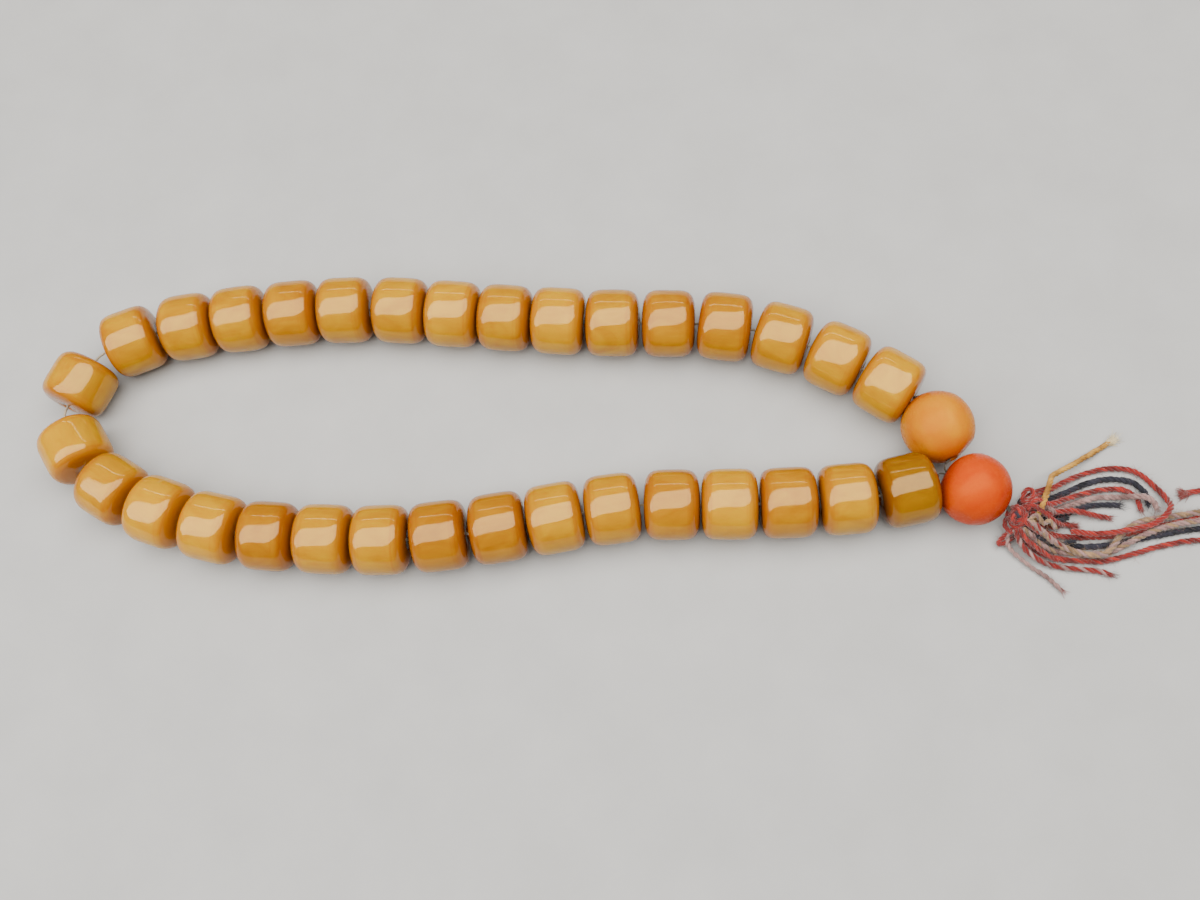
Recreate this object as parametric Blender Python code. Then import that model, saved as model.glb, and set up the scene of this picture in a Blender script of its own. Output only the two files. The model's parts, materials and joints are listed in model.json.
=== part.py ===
"""Misbaha: thirty-three counting beads and a leader bead on a cord loop, with a yarn tassel.

The loop lies flat on its side on a table, z = 0. X runs along the loop towards the tassel,
Y across it and Z up. Lengths are in metres; the routes are given in millimetres.
"""

import math

import bmesh
import bpy
from mathutils import Matrix, Vector

MM = 0.001

# Counting beads: drums turned with well rounded rims, three slimmer ones at the far bend
DRUM_DIAMETER = 0.0136
SLIM_DIAMETER = 0.0131
SLIM_DRUMS = (15, 16, 17)
DRUM_LENGTH = 0.0106
DRUM_RIM_RADIUS = 0.0028
DRUM_BORE = 0.0016
SIDES = 16

# The first counting bead is a ball, and the leader bead is an egg that narrows to the tassel
ROUND_DIAMETER = 0.0136
ROUND_LENGTH = 0.0138
ROUND_BORE = 0.0020
LEADER_DIAMETER = 0.0136
LEADER_LENGTH = 0.0130
LEADER_TAPER = 0.08
LEADER_BORE = 0.0024
BALL_RINGS = 7

# Clearances
GAP = 0.0003
SWAY_SPARE = math.radians(5)

# Cords
STRING_DIAMETER = 0.0007
LEADER_CORD_DIAMETER = 0.0012
YARN_DIAMETER = 0.0011
THREAD_DIAMETER = 0.0009
WAXED_DIAMETER = 0.0011
KNOT_DIAMETER = 0.0040
CORD_END_GAP = 0.0002

# Middle of the two strands, drum by drum: each flexes at the gaps after these drums
DRUMS = 32
UPPER_FLEX = (4, 9)
LOWER_FLEX = (18, 23)

# The loop's middle lies this far from the middle of the routes below
CENTRE = Vector((1.1, -0.3)) * MM

# Centre line of the drums in plan, in mm, from the ball round the loop to the leader
LOOP_ROUTE = (
    (79.1, 3.6), (70.3, 9.5), (60.6, 14.7), (50.0, 18.4), (38.9, 20.2), (16.0, 20.8),
    (-7.0, 22.7), (-29.5, 24.6), (-51.5, 23.5), (-62.5, 22.0), (-74.3, 20.0),
    (-84.2, 16.0), (-87.3, 13.4), (-91.3, 3.5), (-91.0, -1.3), (-84.9, -10.4),
    (-83.2, -11.8), (-74.0, -17.2), (-63.3, -21.0), (-52.5, -23.6), (-41.5, -24.6),
    (-19.0, -25.0), (3.0, -22.0), (25.0, -18.2), (47.5, -17.9), (70.0, -16.5),
    (86.5, -12.9),
)

# Plan places in mm, and the directions of the bores
BALL_PLACE = (83.4, -2.4)
BALL_DIRECTION = math.radians(-72)
LEADER_PLACE = (89.5, -15.1)
LEADER_DIRECTION = math.radians(-31)
KNOT_PLACE = (97.0, -19.6, 4.7)

# The string from the leader through the ball to the first drum, and from the last drum, in mm
STRING_AT_BALL = (
    (84.2, -10.0, 6.8), (85.05, -9.1, 6.8), (80.85, 3.85, 6.8), (80.5, 4.4, 6.8),
    (79.5, 3.75, 6.8),
)
STRING_AT_LEADER = ((82.6, -12.9, 6.8), (82.8, -11.9, 6.8))

# Free yarn routes from the knot, in mm
YARNS = {
    "yarn_red_outer": (
        (98.4, -17.0, 5.2), (102.0, -15.2, 3.8), (107.4, -11.9, 1.6), (111.1, -10.1, 0.7),
        (115.0, -9.0, 0.7), (118.8, -8.9, 0.7), (121.9, -9.9, 0.7), (124.2, -12.2, 0.7),
        (126.1, -15.2, 1.3), (125.7, -17.8, 3.2), (122.5, -20.6, 3.3), (117.5, -21.9, 3.2),
        (112.0, -22.6, 3.2), (107.0, -22.2, 3.4),
    ),
    "yarn_navy_upper": (
        (98.9, -17.4, 3.6), (102.5, -16.0, 2.0), (106.6, -14.2, 0.8), (111.8, -11.9, 0.7),
        (116.0, -11.0, 0.7), (120.0, -11.5, 0.7), (122.4, -13.6, 0.7), (122.9, -16.2, 0.7),
    ),
    "yarn_red_inner": (
        (99.3, -18.2, 5.4), (103.9, -16.9, 3.4), (109.2, -14.6, 1.2), (114.2, -13.2, 0.7),
        (118.2, -13.1, 0.7), (120.7, -14.6, 0.7), (121.2, -17.2, 0.9),
    ),
    "yarn_grey_upper": (
        (99.5, -18.9, 4.0), (103.2, -18.0, 1.9), (108.4, -16.2, 0.7), (113.1, -14.8, 0.7),
        (117.6, -14.7, 1.0), (121.2, -15.0, 2.3), (123.2, -16.1, 2.3), (123.7, -17.6, 2.1),
    ),
    "yarn_navy_inner": (
        (99.5, -19.6, 3.0), (103.8, -19.1, 0.8), (108.0, -17.7, 0.7), (112.4, -16.3, 0.7),
        (117.4, -16.2, 0.7),
    ),
    "yarn_red_short": (
        (99.6, -19.4, 5.4), (103.2, -18.6, 3.3), (108.0, -17.8, 2.1), (110.4, -18.1, 1.7),
        (112.6, -18.4, 1.0), (115.1, -18.8, 0.7),
    ),
    "yarn_red_tuft": (
        (99.6, -20.1, 4.1), (102.0, -20.6, 2.6), (104.2, -20.8, 1.3), (106.8, -20.0, 0.8),
        (108.6, -20.6, 0.7),
    ),
    "yarn_red_middle": (
        (98.9, -21.4, 5.0), (101.2, -22.0, 3.3), (104.6, -22.5, 1.7), (108.6, -22.6, 0.7),
        (115.6, -22.3, 0.7), (122.1, -21.0, 0.7), (128.6, -19.4, 0.7), (133.2, -18.5, 0.7),
        (136.8, -17.0, 0.7), (136.2, -14.4, 0.7), (133.2, -13.4, 0.7), (129.6, -13.9, 0.7),
    ),
    "yarn_navy_lower": (
        (98.4, -21.6, 3.6), (103.2, -23.7, 1.3), (108.0, -24.4, 0.7), (113.0, -24.3, 0.7),
        (118.2, -23.3, 0.7), (123.9, -22.2, 0.7), (130.4, -21.0, 0.7), (137.0, -20.9, 0.7),
    ),
    "yarn_grey_lower": (
        (97.9, -22.1, 5.0), (103.0, -25.0, 1.6), (108.0, -25.8, 0.7), (112.5, -25.8, 0.7),
        (115.2, -25.3, 0.9), (118.0, -23.9, 1.9), (123.1, -21.5, 2.0), (128.1, -20.2, 2.0),
        (134.1, -19.5, 2.0), (139.0, -19.7, 1.7),
    ),
    "yarn_red_lower": (
        (97.2, -22.1, 3.2), (101.0, -25.2, 0.9), (105.0, -26.8, 0.7), (109.0, -27.2, 0.7),
        (113.5, -27.2, 0.7), (118.5, -25.9, 0.7), (124.0, -24.3, 0.7), (130.0, -23.2, 0.7),
        (135.5, -23.4, 0.7),
    ),
    "yarn_beige_crossing": (
        (98.9, -20.9, 6.4), (101.4, -22.8, 4.9), (104.2, -24.4, 2.9), (108.5, -26.0, 2.1),
        (112.4, -26.4, 2.1), (114.6, -24.9, 2.1), (116.6, -22.4, 2.0), (120.0, -20.0, 2.0),
        (124.2, -19.1, 2.0), (129.0, -18.4, 2.0), (134.0, -17.6, 2.0), (138.5, -17.4, 1.8),
    ),
    "yarn_red_lowest": (
        (96.4, -22.2, 4.6), (98.6, -25.4, 2.3), (103.2, -28.0, 0.8), (108.5, -28.8, 0.7),
        (112.2, -29.2, 0.7), (114.4, -30.0, 0.7),
    ),
}
LOOSE_THREAD = (
    (95.6, -22.1, 3.4), (95.9, -24.6, 1.3), (99.3, -27.9, 0.6), (102.8, -30.6, 0.6),
    (105.1, -33.1, 0.6),
)
WAXED_END = (
    (98.4, -19.0, 6.8), (101.3, -18.3, 6.2), (103.6, -14.8, 5.2), (105.3, -10.8, 4.0),
    (109.9, -7.9, 2.2), (114.6, -4.9, 0.9), (117.3, -2.8, 0.7),
)

AMBER = (0.80, 0.36, 0.015)
OLIVE_AMBER = (0.42, 0.18, 0.01)
ORANGE = (0.95, 0.32, 0.01)
RED_ORANGE = (0.88, 0.10, 0.005)
STRING_WHITE = (0.62, 0.58, 0.50)
YARN_RED = (0.45, 0.025, 0.02)
YARN_NAVY = (0.015, 0.02, 0.045)
YARN_GREY = (0.48, 0.36, 0.33)
YARN_BEIGE = (0.42, 0.29, 0.18)
WAX_OCHRE = (0.60, 0.33, 0.08)


def clear_scene():
    for thing in list(bpy.data.objects):
        bpy.data.objects.remove(thing, do_unlink=True)


def plastic(name, colour, roughness):
    material = bpy.data.materials.new(name)
    material.use_nodes = True
    shader = material.node_tree.nodes["Principled BSDF"]
    shader.inputs["Base Color"].default_value = (*colour, 1.0)
    shader.inputs["Roughness"].default_value = roughness
    shader.inputs["Metallic"].default_value = 0.0
    return material


def add_object(name, data, place, material):
    thing = bpy.data.objects.new(name, data)
    thing.location = place
    bpy.context.collection.objects.link(thing)
    if not data.materials:
        data.materials.append(None)
    thing.material_slots[0].link = "OBJECT"
    thing.material_slots[0].material = material
    return thing


def add_pivot(name, place):
    pivot = bpy.data.objects.new(name, None)
    pivot.location = place
    bpy.context.collection.objects.link(pivot)
    return pivot


def hang(thing, pivot):
    """Parent thing to pivot and leave it where it is."""
    thing.parent = pivot
    thing.matrix_parent_inverse = Matrix.Translation(-pivot.location)


# --- Turned beads ---------------------------------------------------------------


def turned(name, profile):
    """A bead turned about X, with flats, from the closed outline (x, radius) of its section."""
    flat = 1 / math.cos(math.pi / SIDES)
    bm = bmesh.new()
    start = Matrix.Rotation(math.pi / SIDES, 4, "X")
    corners = [bm.verts.new(start @ Vector((x, 0.0, r * flat))) for x, r in profile]
    edges = [bm.edges.new(pair) for pair in zip(corners, corners[1:] + corners[:1])]
    bmesh.ops.spin(
        bm, geom=corners + edges, axis=(1, 0, 0), cent=(0, 0, 0), steps=SIDES, angle=math.tau
    )
    bmesh.ops.remove_doubles(bm, verts=bm.verts, dist=1e-6)
    bmesh.ops.recalc_face_normals(bm, faces=bm.faces)
    mesh = bpy.data.meshes.new(name)
    bm.to_mesh(mesh)
    bm.free()
    mesh.shade_smooth()
    mesh.set_sharp_from_angle(angle=math.radians(50))
    return mesh


def drum_profile(diameter):
    half = DRUM_LENGTH / 2
    radius = diameter / 2
    rim = DRUM_RIM_RADIUS
    middle = rim * (1 - math.sqrt(0.5))
    right = [
        (half, DRUM_BORE / 2),
        (half, radius - rim),
        (half - middle, radius - middle),
        (half - rim, radius),
    ]
    return right + [(-x, r) for x, r in reversed(right)]


def ball_profile(diameter, length, bore, taper=0.0):
    """A ball or, with a taper, an egg whose narrow end points along +X."""
    mouth = math.asin(bore / diameter)
    outline = []
    for ring in range(BALL_RINGS + 1):
        angle = mouth + (math.pi - 2 * mouth) * ring / BALL_RINGS
        narrowing = 1 - taper * math.cos(angle)
        outline.append((length / 2 * math.cos(angle), diameter / 2 * math.sin(angle) * narrowing))
    return outline


# --- Layout of the loop ---------------------------------------------------------


def smooth_line(points, steps=24):
    """Points along a Catmull-Rom curve through the given ones."""
    points = [Vector(p) for p in points]
    ends = [2 * points[0] - points[1], *points, 2 * points[-1] - points[-2]]
    line = []
    for a, b, c, d in zip(ends, ends[1:], ends[2:], ends[3:]):
        for step in range(steps):
            t = step / steps
            line.append(
                b
                + 0.5 * t * (c - a)
                + t * t * (a - 2.5 * b + 2 * c - 0.5 * d)
                + t * t * t * (1.5 * (b - c) + 0.5 * (d - a))
            )
    line.append(points[-1])
    return line


def next_at(line, index, place, distance):
    """The first point of the line past index that is this far from place."""
    while (line[index + 1] - place).length < distance:
        index += 1
    near, far = line[index], line[index + 1]
    low, high = 0.0, 1.0
    for _ in range(30):
        middle = (low + high) / 2
        if (near.lerp(far, middle) - place).length < distance:
            low = middle
        else:
            high = middle
    return index, near.lerp(far, high)


def drum_radius(number):
    return (SLIM_DIAMETER if number in SLIM_DRUMS else DRUM_DIAMETER) / 2


def gap_for(turn, radius):
    """The gap on the cord that keeps GAP between two drums' rims when the cord turns so far."""
    half = abs(turn) / 2
    reach = DRUM_RIM_RADIUS + GAP / 2 + (radius - DRUM_RIM_RADIUS) * math.sin(half)
    return 2 * (reach / math.cos(half) - DRUM_RIM_RADIUS)


def turn_between(first, second):
    cross = first.x * second.y - first.y * second.x
    return math.atan2(cross, first.dot(second))


def string_drums():
    """The two ends of each drum's axis in plan, strung along the route as close as they go."""
    line = smooth_line([Vector(p) * MM - CENTRE for p in LOOP_ROUTE])
    index, end = next_at(line, 0, line[0], DRUM_LENGTH)
    drums = [(line[0], end)]
    while len(drums) < DRUMS:
        last, number = drums[-1], len(drums)
        radius = (drum_radius(number - 1) + drum_radius(number)) / 2
        spare = SWAY_SPARE if number - 1 in UPPER_FLEX + LOWER_FLEX else 0.0
        gap = GAP
        for _ in range(8):
            at, start = next_at(line, index, last[1], gap)
            at, end = next_at(line, at, start, DRUM_LENGTH)
            turn = turn_between(last[1] - last[0], end - start)
            gap = gap_for(abs(turn) + spare, radius)
        index = at
        drums.append((start, end))
    return drums


def raised(point, height):
    return Vector((point.x, point.y, height))


def drum_ends(drums, number):
    """The ends of a drum's axis at the height it rolls at on the table."""
    height = drum_radius(number)
    return [raised(point, height) for point in drums[number]]


def placed(point_mm):
    """A route point in the object's own frame, in metres."""
    point = Vector(point_mm) * MM
    return point - Vector((CENTRE.x, CENTRE.y, 0.0))


def heading(angle):
    return Vector((math.cos(angle), math.sin(angle), 0.0))


def flex_pivots(drums):
    """Four pivots in the strands' gaps, moved a little so that the two links are parallel."""
    middles = []
    for after in UPPER_FLEX + LOWER_FLEX:
        middles.append((drums[after][1] + drums[after + 1][0]) / 2)
    upper_start, upper_end, lower_start, lower_end = middles
    link = ((upper_end - upper_start) - (lower_end - lower_start)) / 4
    upper = (upper_start + upper_end) / 2
    lower = (lower_start + lower_end) / 2
    height = DRUM_DIAMETER / 2
    return {
        "upper_right": raised(upper - link, height),
        "upper_left": raised(upper + link, height),
        "lower_left": raised(lower + link, height),
        "lower_right": raised(lower - link, height),
    }


# --- Cords ----------------------------------------------------------------------


def tube(name, points, diameter, origin, material):
    """A round cord along the points, with closed ends."""
    curve = bpy.data.curves.new(name, "CURVE")
    curve.dimensions = "3D"
    curve.bevel_depth = diameter / 2
    curve.bevel_resolution = 2
    curve.use_fill_caps = True
    spline = curve.splines.new("POLY")
    spline.points.add(len(points) - 1)
    for knot, point in zip(spline.points, points):
        knot.co = (*(point - origin), 1.0)
    return add_object(name, curve, origin, material)


def evenly(points, spacing):
    """The smooth curve through the points, with a point at about every spacing."""
    line = smooth_line(points)
    total = sum((b - a).length for a, b in zip(line, line[1:]))
    count = max(2, round(total / spacing))
    kept, walked, wanted = [line[0]], 0.0, 1
    for a, b in zip(line, line[1:]):
        step = (b - a).length
        while wanted < count and walked + step >= total * wanted / count:
            kept.append(a.lerp(b, (total * wanted / count - walked) / step))
            wanted += 1
        walked += step
    return kept + [line[-1]]


def bend_between(start, start_way, end, end_way):
    """Points of a smooth bend between two bores, without its ends."""
    reach = (end - start).length * 0.9
    bend = []
    for t in (0.25, 0.5, 0.75):
        bend.append(
            (2 * t**3 - 3 * t**2 + 1) * start
            + (t**3 - 2 * t**2 + t) * reach * start_way
            + (3 * t**2 - 2 * t**3) * end
            + (t**3 - t**2) * reach * end_way
        )
    return bend


def string_through(drums, first, last):
    """The string's centre line from drum first to drum last, bent only in the gaps."""
    line = []
    for number in range(first, last + 1):
        start, end = drum_ends(drums, number)
        if line:
            before, after = drum_ends(drums, number - 1)
            turn = turn_between(after.xy - before.xy, end.xy - start.xy)
            way = (after - before).normalized()
            bend = bend_between(after, way, start, (end - start).normalized())
            line += bend if abs(turn) > math.radians(20) else []
        line += [start, end]
    return line


def shortened(line, cut_start, cut_end):
    """The line without a little of each end."""
    line = list(line)
    line[0] += (line[1] - line[0]).normalized() * cut_start
    line[-1] += (line[-2] - line[-1]).normalized() * cut_end
    return line


# --- The object -----------------------------------------------------------------


def add_drums(drums, groups, amber, olive):
    plain = turned("drum_bead", drum_profile(DRUM_DIAMETER))
    slim = turned("slim_drum_bead", drum_profile(SLIM_DIAMETER))
    for number in range(DRUMS):
        start, end = drum_ends(drums, number)
        mesh = slim if number in SLIM_DRUMS else plain
        material = olive if number == DRUMS - 1 else amber
        bead = add_object(f"bead_{number + 2:02d}", mesh, (start + end) / 2, material)
        way = end - start
        bead.rotation_euler = (0.0, 0.0, math.atan2(way.y, way.x))
        hang(bead, groups[number])


def add_ball(pivot, material):
    mesh = turned("ball_bead", ball_profile(ROUND_DIAMETER, ROUND_LENGTH, ROUND_BORE))
    centre = placed((*BALL_PLACE, 0.0)) + Vector((0, 0, ROUND_DIAMETER / 2))
    ball = add_object("bead_01", mesh, centre, material)
    ball.rotation_euler = (0.0, 0.0, BALL_DIRECTION)
    hang(ball, pivot)


def leader_centre():
    return placed((*LEADER_PLACE, 0.0)) + Vector((0, 0, LEADER_DIAMETER / 2))


def add_leader(material):
    profile = ball_profile(LEADER_DIAMETER, LEADER_LENGTH, LEADER_BORE, LEADER_TAPER)
    leader = add_object("leader_bead", turned("leader_bead", profile), leader_centre(), material)
    leader.rotation_euler = (0.0, 0.0, LEADER_DIRECTION)


def add_leader_cord(material):
    centre = leader_centre()
    way = heading(LEADER_DIRECTION)
    half = LEADER_LENGTH / 2
    points = [
        centre - way * (half - 2 * GAP),
        centre,
        centre + way * (half - 2 * GAP),
        centre + way * (half + GAP) - Vector((0, 0, 2 * GAP)),
    ]
    tube("cord_through_leader", points, LEADER_CORD_DIAMETER, centre, material)


def add_string(drums, pivots, material):
    """The stringing cord, in one piece for each part of the loop that moves by itself."""
    to_ball = [placed(p) for p in STRING_AT_BALL]
    to_leader = [placed(p) for p in STRING_AT_LEADER]
    upper, lower = UPPER_FLEX, LOWER_FLEX
    runs = (
        ("cord_upper_right", to_ball + string_through(drums, 0, upper[0])[1:], "loop"),
        ("cord_upper_middle", string_through(drums, upper[0] + 1, upper[1]), "upper_link"),
        ("cord_left_bend", string_through(drums, upper[1] + 1, lower[0]), "bend"),
        ("cord_lower_middle", string_through(drums, lower[0] + 1, lower[1]), "lower_link"),
        ("cord_lower_right", string_through(drums, lower[1] + 1, DRUMS - 1) + to_leader, "loop"),
    )
    middles = [flex_middle(drums, number) for number in upper + lower]
    for name, line, pivot in runs:
        line = reach_to_flex(line, middles)
        piece = tube(name, line, STRING_DIAMETER, pivots[pivot].location, material)
        hang(piece, pivots[pivot])


def flex_middle(drums, after):
    return raised((drums[after][1] + drums[after + 1][0]) / 2, DRUM_DIAMETER / 2)


def reach_to_flex(line, middles):
    """Carry each end that lies at a flexing gap on to just short of the gap's middle."""
    line = list(line)
    for middle in middles:
        if (line[0] - middle).length < DRUM_LENGTH / 3:
            line.insert(0, middle + (line[0] - middle).normalized() * CORD_END_GAP)
        if (line[-1] - middle).length < DRUM_LENGTH / 3:
            line.append(middle + (line[-1] - middle).normalized() * CORD_END_GAP)
    return line


def add_knot(pivot, material):
    bm = bmesh.new()
    bmesh.ops.create_uvsphere(bm, u_segments=12, v_segments=7, radius=KNOT_DIAMETER / 2)
    mesh = bpy.data.meshes.new("tassel_knot")
    bm.to_mesh(mesh)
    bm.free()
    mesh.shade_smooth()
    hang(add_object("tassel_knot", mesh, placed(KNOT_PLACE), material), pivot)


def add_free_cord(name, route, diameter, pivot, material):
    points = evenly([placed(p) for p in route], 3 * diameter)
    hang(tube(name, points, diameter, pivot.location, material), pivot)


def add_tassel(pivot):
    colours = {
        "red": plastic("yarn_red", YARN_RED, 0.9),
        "navy": plastic("yarn_navy", YARN_NAVY, 0.9),
        "grey": plastic("yarn_grey", YARN_GREY, 0.9),
        "beige": plastic("yarn_beige", YARN_BEIGE, 0.9),
    }
    for name, route in YARNS.items():
        add_free_cord(name, route, YARN_DIAMETER, pivot, colours[name.split("_")[1]])
    add_free_cord("loose_thread", LOOSE_THREAD, THREAD_DIAMETER, pivot, colours["grey"])
    ochre = plastic("waxed_ochre", WAX_OCHRE, 0.6)
    add_free_cord("waxed_cord_end", WAXED_END, WAXED_DIAMETER, pivot, ochre)


def build():
    clear_scene()
    drums = string_drums()
    flex = flex_pivots(drums)
    pivots = {
        "loop": add_pivot("pivot_loop", leader_centre()),
        "upper_link": add_pivot("pivot_upper_link", flex["upper_right"]),
        "lower_link": add_pivot("pivot_lower_link", flex["lower_right"]),
        "bend": add_pivot("pivot_bend", flex["upper_left"]),
        "tassel": add_pivot("pivot_tassel", placed(KNOT_PLACE)),
    }
    groups = (
        ["loop"] * (UPPER_FLEX[0] + 1)
        + ["upper_link"] * (UPPER_FLEX[1] - UPPER_FLEX[0])
        + ["bend"] * (LOWER_FLEX[0] - UPPER_FLEX[1])
        + ["lower_link"] * (LOWER_FLEX[1] - LOWER_FLEX[0])
        + ["loop"] * (DRUMS - 1 - LOWER_FLEX[1])
    )
    amber = plastic("amber_resin", AMBER, 0.12)
    olive = plastic("olive_amber_resin", OLIVE_AMBER, 0.12)
    white = plastic("string_white", STRING_WHITE, 0.8)
    add_drums(drums, [pivots[g] for g in groups], amber, olive)
    add_ball(pivots["loop"], plastic("orange_resin", ORANGE, 0.35))
    add_leader(plastic("red_orange_resin", RED_ORANGE, 0.35))
    add_leader_cord(white)
    add_string(drums, pivots, white)
    add_knot(pivots["tassel"], plastic("knot_red", YARN_RED, 0.9))
    add_tassel(pivots["tassel"])


build()
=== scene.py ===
"""The looks of a misbaha: amber-coloured beads on a cord loop with a frayed yarn tassel."""

import json
import math
import random

import bmesh
import bpy
from mathutils import Matrix, Vector, noise


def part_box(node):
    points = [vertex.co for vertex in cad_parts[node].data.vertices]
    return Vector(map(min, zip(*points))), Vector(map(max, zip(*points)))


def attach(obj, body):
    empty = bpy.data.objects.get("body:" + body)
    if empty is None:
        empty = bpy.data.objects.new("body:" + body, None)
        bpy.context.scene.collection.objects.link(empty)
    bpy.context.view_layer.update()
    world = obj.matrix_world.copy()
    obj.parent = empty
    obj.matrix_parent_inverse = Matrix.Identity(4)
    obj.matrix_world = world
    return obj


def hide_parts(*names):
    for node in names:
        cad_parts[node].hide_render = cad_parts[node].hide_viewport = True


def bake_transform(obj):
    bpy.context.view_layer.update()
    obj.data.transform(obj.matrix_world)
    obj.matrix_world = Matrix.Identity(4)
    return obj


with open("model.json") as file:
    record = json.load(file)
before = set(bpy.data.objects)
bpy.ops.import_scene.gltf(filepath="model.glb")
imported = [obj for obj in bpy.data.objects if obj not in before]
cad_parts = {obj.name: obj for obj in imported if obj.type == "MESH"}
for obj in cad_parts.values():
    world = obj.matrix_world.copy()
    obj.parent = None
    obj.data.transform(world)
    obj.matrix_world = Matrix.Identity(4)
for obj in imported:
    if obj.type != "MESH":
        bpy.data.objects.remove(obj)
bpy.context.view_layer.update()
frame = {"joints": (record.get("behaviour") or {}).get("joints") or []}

MM = 0.001
CENTRE = Vector((1.1, -0.3, 0.0)) * MM

# --- Camera ---------------------------------------------------------------------

# Above the near side of the table, looking almost straight down
CAMERA_PLACE = Vector((36.6, -88.64, 225.08)) * MM - CENTRE
CAMERA_RIGHT = Vector((0.99697, 0.02283, -0.07434))
CAMERA_UP = Vector((0.00472, 0.93642, 0.35084))
LENS_MM = 36.0
SENSOR_MM = 36.0


def add_camera():
    data = bpy.data.cameras.new("camera")
    data.lens = LENS_MM
    data.sensor_width = SENSOR_MM
    data.clip_start = 0.01
    camera = bpy.data.objects.new("camera", data)
    back = CAMERA_RIGHT.cross(CAMERA_UP)
    turn = Matrix((CAMERA_RIGHT, CAMERA_UP, back)).transposed()
    camera.matrix_world = Matrix.Translation(CAMERA_PLACE) @ turn.to_4x4()
    bpy.context.collection.objects.link(camera)
    bpy.context.scene.camera = camera


add_camera()

# --- Places read from the frame ---------------------------------------------------

JOINTS = {joint["name"]: joint for joint in frame["joints"]}


def joint_place(name):
    return Vector(JOINTS[name]["pos_m"])


def joint_way(name):
    return Vector(JOINTS[name]["axis"]).normalized()


def bead_joint(number):
    return f"turn_bead_{number:02d}"


# --- Nodes ----------------------------------------------------------------------


class Nodes:
    """Short calls for making a node material."""

    def __init__(self, name):
        self.material = bpy.data.materials.new(name)
        self.material.use_nodes = True
        self.tree = self.material.node_tree
        self.shader = self.tree.nodes["Principled BSDF"]

    def add(self, kind, **inputs):
        node = self.tree.nodes.new(kind)
        for key, value in inputs.items():
            self.plug(node, key.replace("_", " "), value)
        return node

    def plug(self, node, key, value):
        socket = node.inputs[int(key)] if key.isdigit() else node.inputs[key]
        if isinstance(value, bpy.types.NodeSocket):
            self.tree.links.new(value, socket)
        else:
            socket.default_value = value

    def set(self, **inputs):
        for key, value in inputs.items():
            self.plug(self.shader, key.replace("_", " "), value)

    def place(self, offset=(0, 0, 0), scale=(1, 1, 1)):
        """Object coordinates in metres, moved and stretched."""
        texture = self.add("ShaderNodeTexCoord")
        mapping = self.add("ShaderNodeMapping", Vector=texture.outputs["Object"])
        mapping.inputs["Location"].default_value = offset
        mapping.inputs["Scale"].default_value = scale
        return mapping.outputs["Vector"]

    def noise(self, place, scale, detail=2.0, roughness=0.5, distortion=0.0):
        node = self.add("ShaderNodeTexNoise", Vector=place, Scale=scale, Detail=detail)
        node.inputs["Roughness"].default_value = roughness
        node.inputs["Distortion"].default_value = distortion
        return node.outputs["Fac"]

    def ramp(self, factor, stops):
        node = self.add("ShaderNodeValToRGB", Fac=factor)
        elements = node.color_ramp.elements
        while len(elements) < len(stops):
            elements.new(0.5)
        for element, (position, colour) in zip(elements, stops):
            element.position = position
            element.color = (*colour, 1.0)
        return node.outputs["Color"]

    def span(self, value, low, high, to_low=0.0, to_high=1.0):
        node = self.add("ShaderNodeMapRange", Value=value)
        node.interpolation_type = "SMOOTHSTEP"
        node.inputs["From Min"].default_value = low
        node.inputs["From Max"].default_value = high
        node.inputs["To Min"].default_value = to_low
        node.inputs["To Max"].default_value = to_high
        return node.outputs["Result"]

    def math(self, operation, first, second=0.0):
        node = self.add("ShaderNodeMath")
        node.operation = operation
        self.plug(node, "0", first)
        self.plug(node, "1", second)
        return node.outputs[0]

    def mix(self, factor, first, second, blend="MIX"):
        node = self.tree.nodes.new("ShaderNodeMix")
        node.data_type = "RGBA"
        node.blend_type = blend
        for index, value in ((0, factor), (6, first), (7, second)):
            socket = node.inputs[index]
            if isinstance(value, bpy.types.NodeSocket):
                self.tree.links.new(value, socket)
            else:
                socket.default_value = value if index == 0 else (*value, 1.0)
        return node.outputs[2]

    def bump(self, height, strength, distance, normal=None):
        node = self.add("ShaderNodeBump", Height=height, Strength=strength, Distance=distance)
        if normal is not None:
            self.plug(node, "Normal", normal)
        return node.outputs["Normal"]


# --- Piece makers ---------------------------------------------------------------


def add_mesh(name, mesh, place=(0, 0, 0)):
    piece = bpy.data.objects.new(name, mesh)
    piece.location = place
    bpy.context.collection.objects.link(piece)
    return piece


def mesh_from(name, verts, faces, indices=None, materials=()):
    mesh = bpy.data.meshes.new(name)
    mesh.from_pydata([tuple(v) for v in verts], [], faces)
    for material in materials:
        mesh.materials.append(material)
    if indices is not None:
        mesh.polygons.foreach_set("material_index", indices)
    mesh.validate()
    mesh.shade_smooth()
    mesh.update()
    return mesh


def smooth_line(points, steps=24):
    """Points along a Catmull-Rom curve through the given ones."""
    points = [Vector(p) for p in points]
    ends = [2 * points[0] - points[1], *points, 2 * points[-1] - points[-2]]
    line = []
    for a, b, c, d in zip(ends, ends[1:], ends[2:], ends[3:]):
        for step in range(steps):
            t = step / steps
            line.append(
                b
                + 0.5 * t * (c - a)
                + t * t * (a - 2.5 * b + 2 * c - 0.5 * d)
                + t * t * t * (1.5 * (b - c) + 0.5 * (d - a))
            )
    line.append(points[-1])
    return line


def length_of(line):
    return sum((b - a).length for a, b in zip(line, line[1:]))


def evenly(line, spacing):
    """The line again, with points evenly spaced."""
    total = length_of(line)
    count = max(2, round(total / spacing))
    kept, walked, wanted = [line[0]], 0.0, 1
    for a, b in zip(line, line[1:]):
        step = (b - a).length
        while wanted < count and walked + step >= total * wanted / count:
            kept.append(a.lerp(b, (total * wanted / count - walked) / step))
            wanted += 1
        walked += step
    return kept + [line[-1]]


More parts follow.
